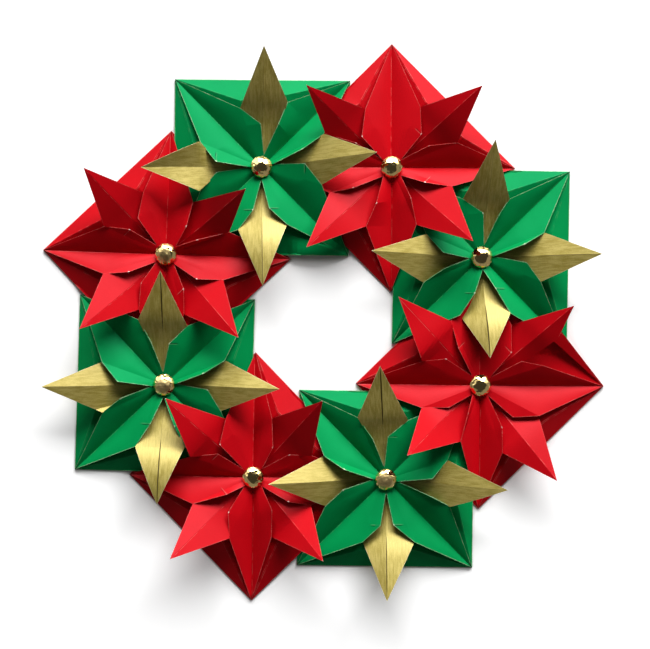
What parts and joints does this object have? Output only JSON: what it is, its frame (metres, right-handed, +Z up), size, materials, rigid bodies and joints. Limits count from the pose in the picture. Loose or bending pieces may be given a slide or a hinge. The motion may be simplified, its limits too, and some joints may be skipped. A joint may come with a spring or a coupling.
{
  "type": "paper flower wreath",
  "caption": "Wreath of folded paper flowers in red, green and gold, tucked into one another in a ring and pinned with brass split fasteners.",
  "frame": {"origin": "middle of the wreath on the surface it lies on", "axes": "+Z up out of the flowers' faces, +Y towards the wreath's top as pictured, +X towards its right"},
  "size_m": [0.1696, 0.1682, 0.0213],
  "materials": {
    "green_gold_paper": "green folding paper with a satin gold foil back",
    "red_paper": "satin red folding paper",
    "brass": "polished"
  },
  "bodies": {
    "root": {"green_flower_1": "green_gold_paper", "red_flower_1": "red_paper", "green_flower_2": "green_gold_paper", "red_flower_2": "red_paper", "green_flower_3": "green_gold_paper", "red_flower_3": "red_paper", "green_flower_4": "green_gold_paper", "red_flower_4": "red_paper", "fastener_head_1": "brass", "fastener_head_2": "brass", "fastener_head_3": "brass", "fastener_head_4": "brass", "fastener_head_5": "brass", "fastener_head_6": "brass", "fastener_head_7": "brass", "fastener_head_8": "brass", "fastener_prongs_1": "brass", "fastener_prongs_2": "brass", "fastener_prongs_3": "brass", "fastener_prongs_4": "brass", "fastener_prongs_5": "brass", "fastener_prongs_6": "brass", "fastener_prongs_7": "brass", "fastener_prongs_8": "brass"}
  },
  "joints": []
}
